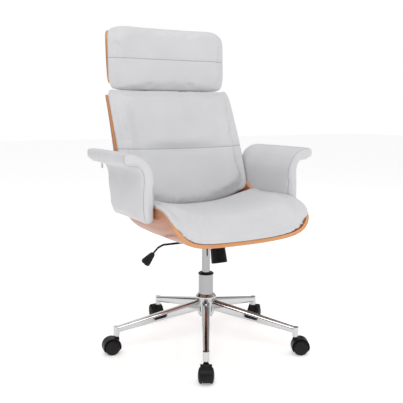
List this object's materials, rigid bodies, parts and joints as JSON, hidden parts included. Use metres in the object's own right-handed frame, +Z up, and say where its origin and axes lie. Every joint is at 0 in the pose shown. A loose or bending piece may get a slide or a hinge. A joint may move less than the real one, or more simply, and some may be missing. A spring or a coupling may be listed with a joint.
{
  "type": "office swivel armchair",
  "caption": "High-backed swivel armchair with a moulded plywood shell, soft white cushions, headrest, bent padded arms, gas lift, tilt mechanism and a wheeled star base.",
  "frame": {"origin": "where the axis of the column meets the floor that the wheels stand on", "axes": "+Z up, -Y the way the sitter faces, +X the sitter's left"},
  "size_m": [0.7048, 0.6732, 1.088],
  "materials": {
    "chrome": "polished chrome plate, mirror bright",
    "steel": "bright zinc-plated steel",
    "black_steel": "black powder coat, semi-gloss",
    "black_plastic": "black moulded nylon, satin",
    "walnut_ply": "moulded plywood, reddish-brown veneer under satin lacquer, paler layered edge",
    "white_cover": "white leather-look polyurethane-coated cloth over foam, soft satin",
    "zip_metal": "nickel-plated zip hardware"
  },
  "bodies": {
    "base": {"star_base": "chrome", "column_tube": "chrome", "column_collar": "black_plastic", "stem_sleeves": "black_plastic", "caster_stems": "steel"},
    "rod": {"piston_rod": "steel", "thrust_bearing": "steel", "rod_clip": "steel"},
    "lift": {"gas_cylinder": "chrome", "mech_housing": "black_steel", "tilt_axle": "steel", "tension_spring": "steel"},
    "valve": {"valve_pin": "steel"},
    "lock": {"lock_bar": "steel"},
    "lever": {"lever_rod": "black_steel", "lever_grip": "black_plastic"},
    "draw": {"tension_bolt": "steel"},
    "knob": {"tension_knob": "black_plastic"},
    "seat": {"seat_plate": "black_steel", "seat_screws": "steel", "axle_bushes": "black_plastic", "seat_shell": "walnut_ply", "seat_cushion": "white_cover", "back_cushion": "white_cover", "headrest_shell": "walnut_ply", "headrest_cushion": "white_cover", "headrest_straps": "black_steel", "strap_screws": "steel", "arm_core_left": "walnut_ply", "arm_core_right": "walnut_ply", "arm_pad_left": "white_cover", "arm_pad_right": "white_cover", "arm_bolts": "steel", "zip_sliders": "zip_metal"},
    "tab_left": {"zip_tab_left": "zip_metal"},
    "tab_right": {"zip_tab_right": "zip_metal"},
    "caster_1": {"caster_hood_1": "black_plastic", "caster_axle_1": "steel"},
    "wheel_left_1": {"caster_wheel_left_1": "black_plastic"},
    "wheel_right_1": {"caster_wheel_right_1": "black_plastic"},
    "caster_2": {"caster_hood_2": "black_plastic", "caster_axle_2": "steel"},
    "wheel_left_2": {"caster_wheel_left_2": "black_plastic"},
    "wheel_right_2": {"caster_wheel_right_2": "black_plastic"},
    "caster_3": {"caster_hood_3": "black_plastic", "caster_axle_3": "steel"},
    "wheel_left_3": {"caster_wheel_left_3": "black_plastic"},
    "wheel_right_3": {"caster_wheel_right_3": "black_plastic"},
    "caster_4": {"caster_hood_4": "black_plastic", "caster_axle_4": "steel"},
    "wheel_left_4": {"caster_wheel_left_4": "black_plastic"},
    "wheel_right_4": {"caster_wheel_right_4": "black_plastic"},
    "caster_5": {"caster_hood_5": "black_plastic", "caster_axle_5": "steel"},
    "wheel_left_5": {"caster_wheel_left_5": "black_plastic"},
    "wheel_right_5": {"caster_wheel_right_5": "black_plastic"}
  },
  "joints": [
    {"name": "seat_swivel", "type": "hinge", "parent": "base", "child": "rod", "pos_m": [0, 0, 0.1], "axis": [0, 0, 1], "continuous": true},
    {"name": "height_slide", "type": "slide", "parent": "rod", "child": "lift", "axis": [0, 0, 1], "range_m": [-0.07, 0.01]},
    {"name": "tilt_lock_slide", "type": "slide", "parent": "lift", "child": "lock", "axis": [-1, 0, 0], "range_m": [0, 0.012]},
    {"name": "lever_lift", "type": "hinge", "parent": "lock", "child": "lever", "pos_m": [-0.0385, 0, 0.3625], "axis": [0, 1, 0], "range_deg": [0, 5], "stiffness_Nm_per_rad": 1, "springref_deg": -5.73},
    {"name": "valve_press", "type": "slide", "parent": "lift", "child": "valve", "axis": [0, 0, 1], "range_m": [-0.0036, 0]},
    {"name": "seat_tilt", "type": "hinge", "parent": "lift", "child": "seat", "pos_m": [0, -0.032, 0.36], "axis": [-1, 0, 0], "range_deg": [0, 12], "stiffness_Nm_per_rad": 90, "springref_deg": -20.05},
    {"name": "bolt_draw", "type": "slide", "parent": "lift", "child": "draw", "axis": [0, 0.2504, 0.9681], "range_m": [0, 0.0088], "deforming": ["tension_spring"]},
    {"name": "tension_turn", "type": "hinge", "parent": "draw", "child": "knob", "pos_m": [0, -0.0887, 0.3021], "axis": [0, 0.2504, 0.9681], "range_deg": [-360, 360]},
    {"name": "tab_swing_left", "type": "hinge", "parent": "seat", "child": "tab_left", "pos_m": [0.312, 0.142, 0.6288], "axis": [0, 1, 0], "range_deg": [-60, 60]},
    {"name": "tab_swing_right", "type": "hinge", "parent": "seat", "child": "tab_right", "pos_m": [-0.312, 0.142, 0.6288], "axis": [0, 1, 0], "range_deg": [-60, 60]},
    {"name": "caster_swivel_1", "type": "hinge", "parent": "base", "child": "caster_1", "pos_m": [-0.15359, -0.26928, 0.055], "axis": [0, 0, 1], "continuous": true},
    {"name": "wheel_spin_left_1", "type": "hinge", "parent": "caster_1", "child": "wheel_left_1", "pos_m": [-0.16201, -0.28404, 0.024], "axis": [-0.8686, 0.4955, 0], "continuous": true},
    {"name": "wheel_spin_right_1", "type": "hinge", "parent": "caster_1", "child": "wheel_right_1", "pos_m": [-0.16201, -0.28404, 0.024], "axis": [-0.8686, 0.4955, 0], "continuous": true},
    {"name": "caster_swivel_2", "type": "hinge", "parent": "base", "child": "caster_2", "pos_m": [0.20863, -0.22929, 0.055], "axis": [0, 0, 1], "continuous": true},
    {"name": "wheel_spin_left_2", "type": "hinge", "parent": "caster_2", "child": "wheel_left_2", "pos_m": [0.22344, -0.23763, 0.024], "axis": [-0.4909, -0.8712, 0], "continuous": true},
    {"name": "wheel_spin_right_2", "type": "hinge", "parent": "caster_2", "child": "wheel_right_2", "pos_m": [0.22344, -0.23763, 0.024], "axis": [-0.4909, -0.8712, 0], "continuous": true},
    {"name": "caster_swivel_3", "type": "hinge", "parent": "base", "child": "caster_3", "pos_m": [0.28254, 0.12757, 0.055], "axis": [0, 0, 1], "continuous": true},
    {"name": "wheel_spin_left_3", "type": "hinge", "parent": "caster_3", "child": "wheel_left_3", "pos_m": [0.29556, 0.1385, 0.024], "axis": [0.6428, -0.766, 0], "continuous": true},
    {"name": "wheel_spin_right_3", "type": "hinge", "parent": "caster_3", "child": "wheel_right_3", "pos_m": [0.29556, 0.1385, 0.024], "axis": [0.6428, -0.766, 0], "continuous": true},
    {"name": "caster_swivel_4", "type": "hinge", "parent": "base", "child": "caster_4", "pos_m": [-0.03402, 0.30813, 0.055], "axis": [0, 0, 1], "continuous": true},
    {"name": "wheel_spin_left_4", "type": "hinge", "parent": "caster_4", "child": "wheel_left_4", "pos_m": [-0.03431, 0.32513, 0.024], "axis": [0.9998, 0.0175, 0], "continuous": true},
    {"name": "wheel_spin_right_4", "type": "hinge", "parent": "caster_4", "child": "wheel_right_4", "pos_m": [-0.03431, 0.32513, 0.024], "axis": [0.9998, 0.0175, 0], "continuous": true},
    {"name": "caster_swivel_5", "type": "hinge", "parent": "base", "child": "caster_5", "pos_m": [-0.30356, 0.06286, 0.055], "axis": [0, 0, 1], "continuous": true},
    {"name": "wheel_spin_left_5", "type": "hinge", "parent": "caster_5", "child": "wheel_left_5", "pos_m": [-0.32038, 0.06532, 0.024], "axis": [0.1444, 0.9895, 0], "continuous": true},
    {"name": "wheel_spin_right_5", "type": "hinge", "parent": "caster_5", "child": "wheel_right_5", "pos_m": [-0.32038, 0.06532, 0.024], "axis": [0.1444, 0.9895, 0], "continuous": true}
  ],
  "couplings": [
    {"joint": "valve_press", "follows": "lever_lift", "m_per_rad": -0.04},
    {"joint": "bolt_draw", "follows": "seat_tilt", "m_per_rad": 0.0404}
  ]
}
